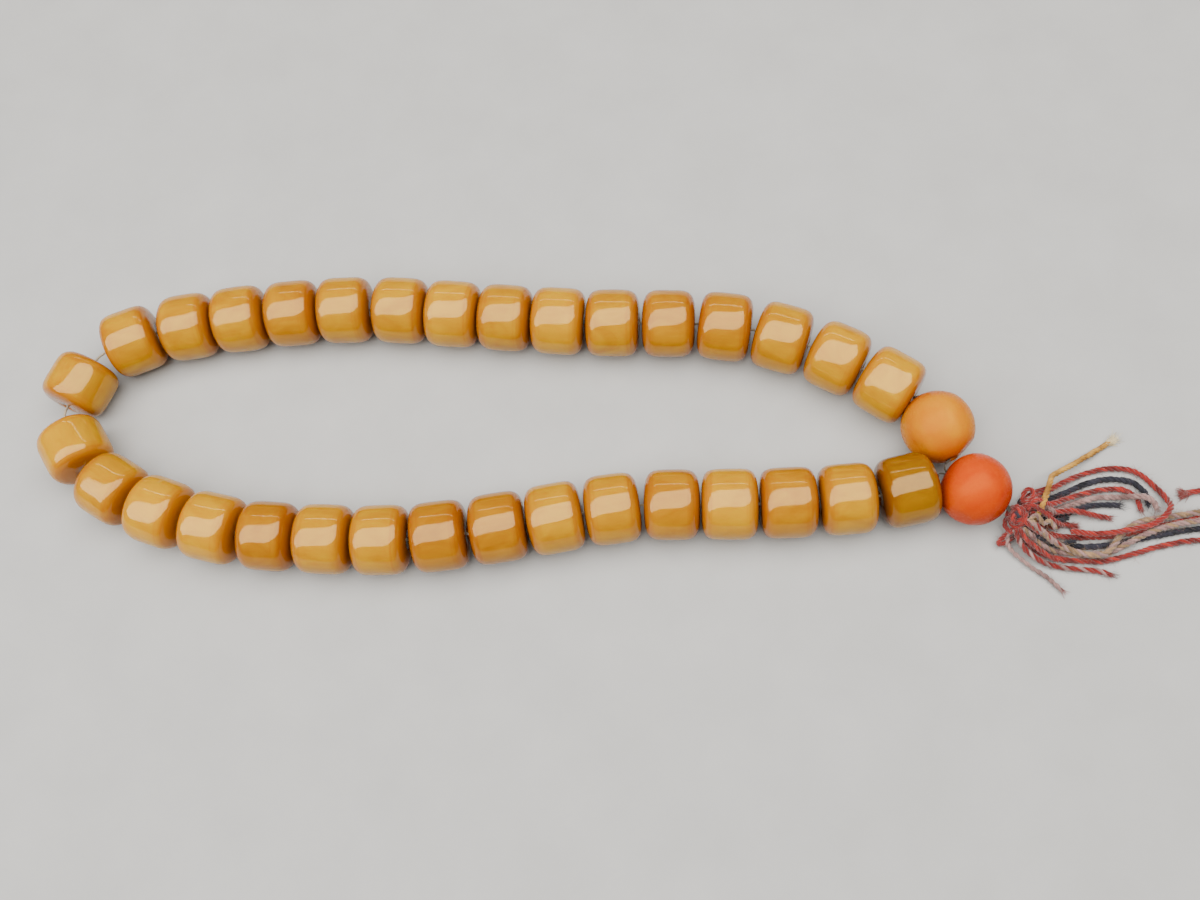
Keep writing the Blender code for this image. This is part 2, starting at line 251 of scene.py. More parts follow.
def frames_along(line):
    """For each point, its way and two sides that turn as little as they can along the line."""
    ways = []
    for index in range(len(line)):
        before, after = line[max(index - 1, 0)], line[min(index + 1, len(line) - 1)]
        ways.append((after - before).normalized())
    side = ways[0].orthogonal().normalized()
    frames = []
    for way in ways:
        side = (side - way * side.dot(way)).normalized()
        frames.append((way, side, way.cross(side)))
    return frames


class Surface:
    """Collects tubes into one mesh, each with a material number."""

    def __init__(self):
        self.verts, self.faces, self.indices = [], [], []

    def tube(self, centres, radii, index=0, sides=6, phase=0.0):
        first = len(self.verts)
        for (centre, frame_here), radius in zip(zip(centres, frames_along(centres)), radii):
            _, side, other = frame_here
            for step in range(sides):
                angle = phase + math.tau * step / sides
                out = side * math.cos(angle) + other * math.sin(angle)
                self.verts.append(centre + out * radius)
        rings = len(centres)
        for ring in range(rings - 1):
            low = first + ring * sides
            for step in range(sides):
                after = (step + 1) % sides
                self.faces.append((low + step, low + after, low + sides + after, low + sides + step))
        self.faces.append(tuple(first + step for step in reversed(range(sides))))
        last = first + (rings - 1) * sides
        self.faces.append(tuple(last + step for step in range(sides)))
        self.indices += [index] * ((rings - 1) * sides + 2)

    def piece(self, name, materials):
        return add_mesh(name, mesh_from(name, self.verts, self.faces, self.indices, materials))


# A ply's radius for the diameter of a yarn of two or three plies
PLY_RADIUS = {2: 0.28, 3: 0.25}
UNEVEN = 0.15


def plies(surface, line, diameter, pitch, indices, start=0.0, sides=6):
    """Twist plies of yarn, one for each material number, round each other along the line."""
    count = len(indices)
    ply_radius = diameter * PLY_RADIUS[count]
    offset = diameter / 2 - ply_radius
    frames = frames_along(line)
    walked, turns = 0.0, []
    for index, point in enumerate(line):
        if index:
            walked += (point - line[index - 1]).length
        turns.append(start + math.tau * walked / pitch)
    last = len(line) - 1
    for ply in range(count):
        centres, radii = [], []
        for index, (point, (_, side, other)) in enumerate(zip(line, frames)):
            angle = turns[index] + math.tau * ply / count
            out = side * math.cos(angle) + other * math.sin(angle)
            swell = UNEVEN * noise.noise(point * 700 + Vector((ply * 9.1, start, 0)))
            centres.append(point + out * offset * (1 + 1.5 * swell))
            shrink = 0.55 + 0.45 * min(1.0, min(index, last - index) / 2)
            radii.append(ply_radius * shrink * (1 + swell))
        surface.tube(centres, radii, indices[ply], sides=sides)


FIBRE_RADIUS = 0.017 * MM
BRUSH_FIBRE_RADIUS = 0.04 * MM
STRAY_SHARE = 0.06


def strand(surface, start, way, length, radius, index, bend, rng):
    """One fine fibre that leaves start along way and curls a little, clear of the table."""
    curl = Vector((rng.gauss(0, 1), rng.gauss(0, 1), rng.gauss(0, 1))).normalized() * bend
    points = []
    for step in range(4):
        t = step / 3
        point = start + way * (length * t) + curl * (length * t * t)
        point.z = max(point.z, radius)
        points.append(point)
    surface.tube(points, [radius, radius, radius * 0.8, radius * 0.4], index, sides=3)


def fuzz(surface, line, diameter, per_metre, indices, rng, longest=1.6 * MM):
    """Short fibres that stand off a yarn, and a few long ones that run beside it."""
    frames = frames_along(line)
    for _ in range(int(length_of(line) * per_metre)):
        at = rng.randrange(1, len(line) - 1)
        way, side, other = frames[at]
        angle = rng.uniform(0, math.tau)
        out = side * math.cos(angle) + other * math.sin(angle)
        stray = rng.random() < STRAY_SHARE
        along = rng.choice((-1, 1)) * (rng.uniform(2.5, 5.0) if stray else rng.uniform(0.4, 1.4))
        length = rng.uniform(0.35, 1.0) * longest * (1.6 if stray else 1.0)
        begin = line[at] + out * diameter * 0.42
        leaving = (way * along + out).normalized()
        strand(surface, begin, leaving, length, FIBRE_RADIUS, rng.choice(indices), 0.35, rng)


def frayed(surface, line, diameter, brush, index, rng):
    """A brush of loose fibres at the end of a yarn."""
    count, longest, spread = brush
    way = (line[-1] - line[-3]).normalized()
    side = way.orthogonal().normalized()
    other = way.cross(side)
    for _ in range(count):
        angle, lean = rng.uniform(0, math.tau), rng.uniform(0.0, spread)
        out = side * math.cos(angle) + other * math.sin(angle)
        begin = line[-1] - way * rng.uniform(0.0, 1.2 * MM) + out * diameter * rng.uniform(0, 0.4)
        length = rng.uniform(0.4, 1.0) * longest * MM
        leaving = (way + out * lean).normalized()
        strand(surface, begin, leaving, length, BRUSH_FIBRE_RADIUS, index, 0.3, rng)


# --- Yarn and cord materials ------------------------------------------------------

# Painted shade: a dark colour multiplied into a yarn's colour
PAINTED_SHADE = (0.11, 0.09, 0.07)


def cotton(name, dark, light, seed, roughness=0.9, sheen=0.35, fleck=0.35, painted_shade_past=None):
    """Spun cotton: fibres of uneven colour, matt, with a soft sheen, and darkened with painted shade
    past a place along X.
    """
    nodes = Nodes(name)
    fine = nodes.noise(nodes.place((seed, 0, 0)), 5200.0, 3.0, 0.65)
    broad = nodes.noise(nodes.place((0, seed, 0)), 420.0, 2.0, 0.5, 0.6)
    flecks = nodes.math("MULTIPLY", fine, fleck)
    patches = nodes.math("MULTIPLY", broad, 1 - fleck)
    colour = nodes.ramp(nodes.math("ADD", flecks, patches), ((0.36, dark), (0.62, light)))
    if painted_shade_past:
        # Painted shade: darken the colour past the given place along X
        split = nodes.add("ShaderNodeSeparateXYZ", Vector=nodes.place())
        near = nodes.span(split.outputs["X"], painted_shade_past - 3 * MM, painted_shade_past)
        colour = nodes.mix(near, colour, PAINTED_SHADE, "MULTIPLY")
    nodes.set(
        Base_Color=colour,
        Roughness=nodes.span(fine, 0.3, 0.7, roughness - 0.08, roughness + 0.06),
        Normal=nodes.bump(fine, 0.6, 0.0001),
    )
    nodes.set(Sheen_Weight=sheen, Sheen_Roughness=0.5, Specular_IOR_Level=0.25)
    return nodes.material


RED = cotton("yarn_red", (0.050, 0.0015, 0.0015), (0.21, 0.008, 0.006), 0.11)
BRIGHT_RED = cotton("yarn_bright_red", (0.10, 0.003, 0.0025), (0.31, 0.014, 0.008), 0.23)
NAVY = cotton("yarn_navy", (0.003, 0.004, 0.007), (0.022, 0.022, 0.036), 0.31, sheen=0.12)
GREY = cotton("yarn_grey", (0.10, 0.052, 0.050), (0.29, 0.180, 0.172), 0.43)
BEIGE = cotton("yarn_beige", (0.09, 0.053, 0.027), (0.28, 0.175, 0.093), 0.57)
CREAM = cotton("yarn_cream", (0.40, 0.31, 0.16), (0.78, 0.68, 0.44), 0.61)
WAXED = cotton("waxed_ochre", (0.21, 0.092, 0.010), (0.45, 0.25, 0.042), 0.77, 0.55, 0.1, 0.2)
# The string is darkened with painted shade past 78 mm along X
STRING = cotton("string_white", (0.22, 0.18, 0.13), (0.44, 0.38, 0.29), 0.83, painted_shade_past=78 * MM)

# --- Tassel ---------------------------------------------------------------------

YARN_DIAMETER = 1.1 * MM
YARN_PITCH = 3.4 * MM
THREAD_DIAMETER = 0.9 * MM
WAXED_DIAMETER = 1.1 * MM
THREAD_PITCH = 2.6 * MM
# Loose plies stand a little outside the yarn's own thickness
LOOSE_PLIES = 1.12
YARN_SPACING = 0.36 * MM

# Routes from the knot to the yarns' ends, in mm, with z up from the table
YARNS = {
    "yarn_red_outer": (
        (98.4, -17.0, 5.2), (102.0, -15.2, 3.8), (107.4, -11.9, 1.6), (111.1, -10.1, 0.7),
        (115.0, -9.0, 0.7), (118.8, -8.9, 0.7), (121.9, -9.9, 0.7), (124.2, -12.2, 0.7),
        (126.1, -15.2, 1.3), (125.7, -17.8, 3.2), (122.5, -20.6, 3.3), (117.5, -21.9, 3.2),
        (112.0, -22.6, 3.2), (107.0, -22.2, 3.4),
    ),
    "yarn_navy_upper": (
        (98.9, -17.4, 3.6), (102.5, -16.0, 2.0), (106.6, -14.2, 0.8), (111.8, -11.9, 0.7),
        (116.0, -11.0, 0.7), (120.0, -11.5, 0.7), (122.4, -13.6, 0.7), (122.9, -16.2, 0.7),
    ),
    "yarn_red_inner": (
        (99.3, -18.2, 5.4), (103.9, -16.9, 3.4), (109.2, -14.6, 1.2), (114.2, -13.2, 0.7),
        (118.2, -13.1, 0.7), (120.7, -14.6, 0.7), (121.2, -17.2, 0.9),
    ),
    "yarn_grey_upper": (
        (99.5, -18.9, 4.0), (103.2, -18.0, 1.9), (108.4, -16.2, 0.7), (113.1, -14.8, 0.7),
        (117.6, -14.7, 1.0), (121.2, -15.0, 2.3), (123.2, -16.1, 2.3), (123.7, -17.6, 2.1),
    ),
    "yarn_navy_inner": (
        (99.5, -19.6, 3.0), (103.8, -19.1, 0.8), (108.0, -17.7, 0.7), (112.4, -16.3, 0.7),
        (117.4, -16.2, 0.7),
    ),
    "yarn_red_short": (
        (99.6, -19.4, 5.4), (103.2, -18.6, 3.3), (108.0, -17.8, 2.1), (110.4, -18.1, 1.7),
        (112.6, -18.4, 1.0), (115.1, -18.8, 0.7),
    ),
    "yarn_red_tuft": (
        (99.6, -20.1, 4.1), (102.0, -20.6, 2.6), (104.2, -20.8, 1.3), (106.8, -20.0, 0.8),
        (108.6, -20.6, 0.7),
    ),
    "yarn_red_middle": (
        (98.9, -21.4, 5.0), (101.2, -22.0, 3.3), (104.6, -22.5, 1.7), (108.6, -22.6, 0.7),
        (115.6, -22.3, 0.7), (122.1, -21.0, 0.7), (128.6, -19.4, 0.7), (133.2, -18.5, 0.7),
        (136.8, -17.0, 0.7), (136.2, -14.4, 0.7), (133.2, -13.4, 0.7), (129.6, -13.9, 0.7),
    ),
    "yarn_navy_lower": (
        (98.4, -21.6, 3.6), (103.2, -23.7, 1.3), (108.0, -24.4, 0.7), (113.0, -24.3, 0.7),
        (118.2, -23.3, 0.7), (123.9, -22.2, 0.7), (130.4, -21.0, 0.7), (137.0, -20.9, 0.7),
    ),
    "yarn_grey_lower": (
        (97.9, -22.1, 5.0), (103.0, -25.0, 1.6), (108.0, -25.8, 0.7), (112.5, -25.8, 0.7),
        (115.2, -25.3, 0.9), (118.0, -23.9, 1.9), (123.1, -21.5, 2.0), (128.1, -20.2, 2.0),
        (134.1, -19.5, 2.0), (139.0, -19.7, 1.7),
    ),
    "yarn_red_lower": (
        (97.2, -22.1, 3.2), (101.0, -25.2, 0.9), (105.0, -26.8, 0.7), (109.0, -27.2, 0.7),
        (113.5, -27.2, 0.7), (118.5, -25.9, 0.7), (124.0, -24.3, 0.7), (130.0, -23.2, 0.7),
        (135.5, -23.4, 0.7),
    ),
    "yarn_beige_crossing": (
        (98.9, -20.9, 6.4), (101.4, -22.8, 4.9), (104.2, -24.4, 2.9), (108.5, -26.0, 2.1),
        (112.4, -26.4, 2.1), (114.6, -24.9, 2.1), (116.6, -22.4, 2.0), (120.0, -20.0, 2.0),
        (124.2, -19.1, 2.0), (129.0, -18.4, 2.0), (134.0, -17.6, 2.0), (138.5, -17.4, 1.8),
    ),
    "yarn_red_lowest": (
        (96.4, -22.2, 4.6), (98.6, -25.4, 2.3), (103.2, -28.0, 0.8), (108.5, -28.8, 0.7),
        (112.2, -29.2, 0.7), (114.4, -30.0, 0.7),
    ),
}
LOOSE_THREAD = (
    (95.6, -22.1, 3.4), (95.9, -24.6, 1.3), (99.3, -27.9, 0.6), (102.8, -30.6, 0.6),
    (105.1, -33.1, 0.6),
)
WAXED_END = (
    (99.5, -20.5, 4.8), (100.1, -20.3, 4.9), (101.0, -19.3, 5.3), (102.2, -16.6, 5.6),
    (103.9, -12.8, 4.8), (104.5, -11.5, 4.1), (105.2, -11.0, 3.9), (109.4, -8.4, 2.3),
    (114.4, -5.2, 0.9), (117.2, -3.4, 0.7),
)

# Each yarn's plies, its fibres per metre, and the brush at its end: its colour, then the
# number of fibres, the longest in mm and how far they spread
YARN_LOOKS = {
    "yarn_red_outer": ((RED, BRIGHT_RED, RED), 6000, None, None),
    "yarn_navy_upper": ((NAVY, NAVY, NAVY), 6000, NAVY, (24, 1.6, 0.5)),
    "yarn_red_inner": ((BRIGHT_RED, RED, RED), 6000, RED, (30, 1.8, 0.5)),
    "yarn_grey_upper": ((GREY, GREY, GREY), 6000, GREY, (30, 1.8, 0.6)),
    "yarn_navy_inner": ((NAVY, NAVY, NAVY), 6500, NAVY, (34, 1.9, 0.6)),
    "yarn_red_short": ((RED, BRIGHT_RED, RED), 6000, RED, (34, 1.8, 0.6)),
    "yarn_red_tuft": ((BRIGHT_RED, RED, BRIGHT_RED), 7500, BRIGHT_RED, (120, 1.9, 1.0)),
    "yarn_red_middle": ((BRIGHT_RED, RED, BRIGHT_RED), 6000, BRIGHT_RED, (200, 1.9, 1.2)),
    "yarn_navy_lower": ((NAVY, NAVY, NAVY), 6000, CREAM, (50, 1.9, 0.6)),
    "yarn_grey_lower": ((GREY, GREY, BEIGE), 7500, CREAM, (60, 1.9, 0.7)),
    "yarn_red_lower": ((RED, BRIGHT_RED, RED), 7500, CREAM, (70, 1.9, 0.7)),
    "yarn_beige_crossing": ((BEIGE, BEIGE, GREY), 10000, CREAM, (80, 1.9, 0.8)),
    "yarn_red_lowest": ((RED, GREY, RED), 6000, RED, (24, 1.8, 0.5)),
}


def in_frame(points):
    return [Vector(p) * MM - CENTRE for p in points]


def add_yarn(name, route, looks, diameter, pitch, seed):
    rng = random.Random(seed)
    line = evenly(smooth_line(in_frame(route)), YARN_SPACING)
    colours, fibres, tip, brush = looks
    materials = [*colours, tip] if tip else list(colours)
    surface = Surface()
    turned = range(len(colours))
    plies(surface, line, diameter * LOOSE_PLIES, pitch, turned, rng.uniform(0, math.tau))
    fuzz(surface, line, diameter, fibres, turned, rng)
    if brush:
        frayed(surface, line, diameter, brush, len(colours), rng)
    piece = surface.piece(name + "_twisted", materials)
    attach(piece, "tassel_skirt")
    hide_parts(name)


def add_tassel():
    for seed, (name, route) in enumerate(YARNS.items()):
        add_yarn(name, route, YARN_LOOKS[name], YARN_DIAMETER, YARN_PITCH, 100 + seed)
    thread = ((GREY, GREY), 3000, BRIGHT_RED, (16, 1.4, 0.4))
    add_yarn("loose_thread", LOOSE_THREAD, thread, THREAD_DIAMETER, THREAD_PITCH, 140)
    waxed = ((WAXED, WAXED, WAXED), 500, CREAM, (140, 2.8, 0.45))
    add_yarn("waxed_cord_end", WAXED_END, waxed, WAXED_DIAMETER, THREAD_PITCH, 150)


add_tassel()

# --- Knot -----------------------------------------------------------------------

KNOT = joint_place("tassel_swing")
STEPS_A_TURN = 14


def knot_wrap(tilt, radius, turns, seed):
    """The way of a yarn wound round the middle of the knot."""
    turn = Matrix.Rotation(tilt[0], 3, "X") @ Matrix.Rotation(tilt[1], 3, "Y")
    steps = int(turns * STEPS_A_TURN)
    points = []
    for step in range(steps + 1):
        angle = math.tau * step / STEPS_A_TURN
        around = radius * (1 + 0.2 * math.sin(angle * 0.7 + seed))
        lift = (step / steps - 0.5) * radius * 1.1
        points.append(KNOT + turn @ Vector((around * math.cos(angle), around * math.sin(angle), lift)))
    return points


KNOT_COLOURS = [RED, GREY, NAVY, BEIGE, BRIGHT_RED]
STRAND_DIAMETER = 1.0 * MM
STRAND_PITCH = 2.8 * MM
WRAP_PITCH = 2.6 * MM
STRAND_SPACING = 0.34 * MM
# Loose fibres on a metre of yarn, and the longest of them
STRAND_FIBRES, LONGEST_STRAND_FIBRE = 6000, 1.4 * MM
WRAP_FIBRES, LONGEST_WRAP_FIBRE = 3000, 1.1 * MM

# Yarns wound round the middle of the knot: the tilt about X and Y, the radius in mm, the turns
# and the plies' colours
KNOT_WRAPS = (
    ((0.3, 1.2), 0.9, 2.2, (RED, RED, RED)),
    ((1.3, 0.2), 1.1, 2.0, (RED, BRIGHT_RED, RED)),
    ((-0.6, 0.7), 1.3, 1.8, (NAVY, NAVY, NAVY)),
    ((0.9, -0.9), 1.5, 1.7, (RED, BRIGHT_RED, RED)),
    ((2.0, 0.5), 1.6, 1.5, (RED, RED, RED)),
    ((0.1, 2.3), 1.7, 1.4, (RED, BRIGHT_RED, BRIGHT_RED)),
)
# Small loops that stay with the knot: the plies' colours and a route in mm
KNOT_LOOPS = (
    ((RED, BRIGHT_RED, RED), (
        (98.2, -17.2, 5.2), (98.5, -15.4, 5.8), (99.7, -14.6, 5.8), (100.3, -15.8, 5.4),
        (98.9, -17.4, 5.2),
    )),
    ((RED, RED, RED), (
        (96.6, -21.6, 3.2), (95.0, -22.8, 2.4), (93.9, -24.0, 1.4), (94.9, -24.0, 1.3),
        (96.8, -23.0, 2.2),
    )),
    ((RED, BRIGHT_RED, RED), (
        (97.2, -17.9, 5.9), (96.2, -19.0, 6.1), (95.9, -20.3, 6.0), (96.3, -21.3, 5.4),
    )),
    ((RED, RED, RED), (
        (96.6, -18.4, 3.0), (95.4, -19.8, 3.2), (95.1, -21.4, 3.5), (96.2, -22.8, 3.8),
    )),
    ((NAVY, NAVY, NAVY), (
        (98.2, -18.0, 3.0), (98.4, -16.2, 2.8), (99.3, -15.4, 2.4), (99.8, -16.8, 2.4),
    )),
)
# Short strands over the knot that swing with the tassel
ROOT_STRANDS = (
    ((BRIGHT_RED, RED, BRIGHT_RED), (
        (97.6, -18.8, 4.9), (97.5, -20.2, 5.8), (98.5, -21.5, 5.9), (101.2, -22.8, 4.2),
        (104.4, -23.4, 2.4),
    )),
    ((RED, BRIGHT_RED, RED), (
        (97.5, -20.8, 4.2), (97.5, -22.5, 4.6), (98.8, -24.2, 4.0), (101.8, -26.0, 2.4),
        (104.6, -27.6, 1.9),
    )),
    ((GREY, GREY, GREY), (
        (98.6, -17.0, 5.0), (100.2, -16.2, 5.2), (102.4, -17.2, 4.4), (104.6, -18.6, 3.2),
    )),
    ((RED, RED, BRIGHT_RED), (
        (97.8, -18.2, 5.7), (99.4, -17.9, 6.3), (101.4, -19.2, 6.2), (103.8, -20.4, 4.4),
        (106.2, -20.9, 2.4),
    )),
    ((GREY, RED, GREY), (
        (97.8, -20.8, 5.7), (99.0, -21.2, 6.2), (100.6, -22.2, 5.7), (103.2, -23.8, 3.8),
        (105.6, -25.0, 2.6),
    )),
    ((BRIGHT_RED, BRIGHT_RED, RED), (
        (98.6, -19.0, 6.1), (99.9, -17.3, 6.3), (101.6, -16.8, 5.6), (103.6, -17.4, 4.0),
    )),
    ((NAVY, NAVY, NAVY), (
        (98.2, -18.8, 3.2), (101.2, -19.8, 3.6), (104.6, -20.0, 2.8), (107.4, -19.2, 1.9),
    )),
    ((NAVY, NAVY, NAVY), (
        (98.0, -21.8, 3.8), (101.2, -23.5, 3.4), (104.8, -24.4, 2.6), (108.2, -23.8, 1.9),
    )),
    ((BEIGE, GREY, BEIGE), (
        (98.8, -20.9, 6.2), (100.2, -20.0, 6.6), (101.4, -21.4, 5.8), (103.0, -20.6, 4.8),
        (104.2, -21.8, 3.6),
    )),
    ((RED, RED, RED), (
        (98.2, -17.0, 3.8), (100.4, -15.0, 4.2), (103.6, -13.6, 3.0), (106.0, -12.9, 2.2),
    )),
)


def colour_numbers(colours):
    return [KNOT_COLOURS.index(colour) for colour in colours]


def add_strands(surface, strands, rng):
    for seed, (colours, route) in enumerate(strands):
        line = evenly(smooth_line(in_frame(route), 10), STRAND_SPACING)
        numbers = colour_numbers(colours)
        plies(surface, line, STRAND_DIAMETER, STRAND_PITCH, numbers, seed)
        fuzz(surface, line, STRAND_DIAMETER, STRAND_FIBRES, numbers, rng, LONGEST_STRAND_FIBRE)


def add_knot():
    rng = random.Random(7)
    surface = Surface()
    for seed, (tilt, radius, turns, colours) in enumerate(KNOT_WRAPS):
        line = evenly(smooth_line(knot_wrap(tilt, radius * MM, turns, seed), 6), STRAND_SPACING)
        numbers = colour_numbers(colours)
        plies(surface, line, STRAND_DIAMETER, WRAP_PITCH, numbers, seed)
        fuzz(surface, line, STRAND_DIAMETER, WRAP_FIBRES, numbers, rng, LONGEST_WRAP_FIBRE)
    add_strands(surface, KNOT_LOOPS, rng)
    piece = surface.piece("knot_of_yarn", KNOT_COLOURS)
    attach(piece, "tassel_head")
    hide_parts("tassel_knot")


def add_root():
    surface = Surface()
    add_strands(surface, ROOT_STRANDS, random.Random(9))
    piece = surface.piece("tassel_root_strands", KNOT_COLOURS)
    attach(piece, "tassel_skirt")


add_knot()
add_root()

# --- Stringing cord ---------------------------------------------------------------

STRING_DIAMETER = 0.7 * MM
STRING_PITCH = 1.7 * MM
STRING_SPACING = 0.4 * MM
# Pulled tight, the string is this much of its own thickness: in the loop, inside the leader
# bead and in the two short links that enter it
TAUT, TAUTER, TAUTEST = 0.85, 0.8, 0.65
DRUM_LENGTH = 10.6 * MM
# Each stretch of string from the leader round the loop: its drums, the joints at its two ends
# and the body it moves with
STRING_RUNS = {
    "cord_upper_right": (range(2, 7), None, "loop_sway", "loop_right"),
    "cord_upper_middle": (range(7, 12), "loop_sway", "loop_sway_left", "upper_link"),
    "cord_left_bend": (range(12, 21), "loop_sway_left", None, "loop_left"),
    "cord_lower_middle": (range(21, 26), None, "loop_sway_lower", "lower_link"),
    "cord_lower_right": (range(26, 34), "loop_sway_lower", None, "loop_right"),
}
# The loop has no joint of its own between these two drums
OPENED_AFTER, OPENED_BEFORE = 20, 21
# From the leader bead through the orange ball to the first drum, and from the last drum back
# to the leader bead, in mm
STRING_AT_BALL = (
    (84.2, -10.0, 6.8), (85.05, -9.1, 6.8), (80.9, 3.7, 6.8), (80.4, 4.1, 6.8),
    (79.5, 3.75, 6.8),
)
STRING_AT_LEADER = ((82.6, -12.9, 6.8), (82.8, -11.9, 6.8))
# From the leader bead's middle to the two ends of its bore, and from the knot's middle to the
# cords' ends in it, in mm
LEADER_MOUTH, LEADER_TIP, CORDS_IN_KNOT = 5.9, 6.2, 1.0
LEADER_CORD_ASIDE = 0.3 * MM
LINK_BOW = 0.35 * MM
LINK_SPACING = 0.3 * MM


def drum_ends(number):
    place, way = joint_place(bead_joint(number)), joint_way(bead_joint(number))
    return place - way * DRUM_LENGTH / 2, place + way * DRUM_LENGTH / 2


def bend_between(start, start_way, end, end_way):
    """Three points of a smooth bend from one drum's end to the next one's."""
    reach = (end - start).length * 0.9
    bend = []
    for t in (0.25, 0.5, 0.75):
        bend.append(
            (2 * t**3 - 3 * t**2 + 1) * start
            + (t**3 - 2 * t**2 + t) * reach * start_way
            + (3 * t**2 - 2 * t**3) * end
            + (t**3 - t**2) * reach * end_way
        )
    return bend


def string_line(numbers):
    line = []
    for number in numbers:
        start, end = drum_ends(number)
        if line:
            before, after = drum_ends(number - 1)
            ways = (after - before).normalized(), (end - start).normalized()
            line += bend_between(after, ways[0], start, ways[1])
        line += [start, start.lerp(end, 0.5), end]
    return line


def opened_pivot(near):
    """Just short of the middle of the gap where the loop has no joint of its own."""
    middle = (drum_ends(OPENED_AFTER)[1] + drum_ends(OPENED_BEFORE)[0]) / 2
    return near.lerp(middle, 0.7)


def add_string():
    for seed, (node, (numbers, start, end, body)) in enumerate(STRING_RUNS.items()):
        line = string_line(numbers)
        if node == "cord_upper_right":
            line = in_frame(STRING_AT_BALL) + line[1:]
        if node == "cord_lower_right":
            line += in_frame(STRING_AT_LEADER)
        if node == "cord_left_bend":
            line.append(opened_pivot(line[-1]))
        if node == "cord_lower_middle":
            line.insert(0, opened_pivot(line[0]))
        if start:
            line.insert(0, joint_place(start))
        if end:
            line.append(joint_place(end))
        surface = Surface()
        fine = evenly(line, STRING_SPACING)
        plies(surface, fine, STRING_DIAMETER * TAUT, STRING_PITCH, (0, 0, 0), seed, sides=5)
        piece = surface.piece(node + "_twisted", [STRING])
        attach(piece, body)
        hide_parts(node)


def add_leader_cord():
    centre = joint_place("turn_leader_bead")
    way = joint_way("turn_leader_bead")
    mouth = centre - way * LEADER_MOUTH * MM
    tip = centre + way * LEADER_TIP * MM
    surface = Surface()
    for side in (-LEADER_CORD_ASIDE, LEADER_CORD_ASIDE):
        across = Vector((-way.y, way.x, 0.0)) * side
        line = [mouth + across, centre + across, tip + across]
        line.append(KNOT + (centre - KNOT).normalized() * CORDS_IN_KNOT * MM)
        fine = evenly(line, STRING_SPACING)
        plies(surface, fine, STRING_DIAMETER * TAUTER, STRING_PITCH, (0, 0, 0), side, sides=5)
    piece = surface.piece("cord_through_leader_doubled", [STRING])
    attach(piece, "leader_cord")
    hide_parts("cord_through_leader")
    for name, route in (("upper", STRING_AT_BALL[0]), ("lower", STRING_AT_LEADER[-1])):
        start = in_frame([route])[0]
        surface = Surface()
        line = evenly([start, start.lerp(mouth, 0.5) - way * LINK_BOW, mouth], LINK_SPACING)
        plies(surface, line, STRING_DIAMETER * TAUTEST, STRING_PITCH, (0, 0, 0), 0.5, sides=5)
        link = surface.piece(f"cord_link_{name}", [STRING])
        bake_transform(link)


add_string()
add_leader_cord()

# --- Bead shapes ------------------------------------------------------------------

SEGMENTS = 72
WAVINESS = 0.012
FIRST_DRUM, LAST_DRUM = 2, 33
LONGEST_DRUM_HALF = 5.58 * MM
SHORTEST_DRUM_HALF = 5.30 * MM
# Where two drums' rims come nearest, from the axis, and what each keeps clear there
RIM_REACH = 4.7 * MM
RIM_GAP = 0.08 * MM
# The powers of the outlines: 2 is an ellipse, and more is squarer
DRUM_SHAPE = 4.5
ROUND_SHAPE = 2.05
BORE = 0.8 * MM
BALL_BORE = 1.0 * MM
LEADER_BORE = 1.2 * MM
BALL_RADIUS, BALL_HALF, BALL_TAPER = 6.9 * MM, 7.0 * MM, 0.02
LEADER_RADIUS, LEADER_HALF, LEADER_TAPER = 6.8 * MM, 6.45 * MM, 0.05
DRUM_STEPS = 34
ROUND_STEPS = 36


def turned_bead(name, outline, seed, material):
    """Turn a closed outline of (x, radius) about X, a little out of true as hand work is."""
    verts, faces = [], []
    count = len(outline)
    for step in range(SEGMENTS):
        angle = math.tau * step / SEGMENTS
        for x, radius in outline:
            point = Vector((x, radius * math.cos(angle), radius * math.sin(angle)))
            if radius > 1.5 * BORE:
                field = point * 160 + Vector((seed * 3.7, seed * 1.3, 0))
                point *= 1 + WAVINESS * noise.noise(field) * min(1, radius / (4 * MM))
            verts.append(point)
    for step in range(SEGMENTS):
        after = (step + 1) % SEGMENTS
        for ring in range(count):
            nxt = (ring + 1) % count
            faces.append((
                step * count + ring, step * count + nxt, after * count + nxt, after * count + ring,
            ))
    mesh = mesh_from(name, verts, faces, materials=[material])
    bm = bmesh.new()
    bm.from_mesh(mesh)
    bmesh.ops.recalc_face_normals(bm, faces=bm.faces)
    bm.to_mesh(mesh)
    bm.free()
    return mesh


def with_bore(outside, bore):
    """Close an outline by a countersunk bore between its two ends."""
    x_right, x_left = outside[0][0], outside[-1][0]
    lip = 0.25 * MM
    inner = [(x_left + lip, bore), (x_left * 0.4, bore), (x_right * 0.4, bore), (x_right - lip, bore)]
    return outside + inner


def drum_half(number):
    """Half a drum's length: as long as its neighbours leave room for at their rims."""
    place, way = joint_place(bead_joint(number)), joint_way(bead_joint(number))
    half = LONGEST_DRUM_HALF
    for other in (number - 1, number + 1):
        if FIRST_DRUM <= other <= LAST_DRUM:
            lean = way.angle(joint_way(bead_joint(other))) / 2
            pitch = (joint_place(bead_joint(other)) - place).length
            half = min(half, pitch / 2 - RIM_GAP - RIM_REACH * math.sin(lean))
    return max(half, SHORTEST_DRUM_HALF)


def bead_outline(radius, half, shape, bore, steps, taper=0.0):
    """A bead's outline from bore to bore, as (x, radius), narrower towards +X with a taper."""
    mouth = bore + 0.2 * MM
    start = math.asin((mouth / radius) ** (shape / 2))
    outside = []
    for step in range(steps + 1):
        angle = start + (math.pi - 2 * start) * step / steps
        across, along = math.sin(angle), math.cos(angle)
        x = half * math.copysign(abs(along) ** (2 / shape), along)
        outside.append((x, radius * across ** (2 / shape) * (1 - taper * along)))
    return with_bore(outside, bore)


# --- Bead materials ---------------------------------------------------------------

# How much of the resin's cloudiness is in fine wisps
WISP_SHARE = 0.175


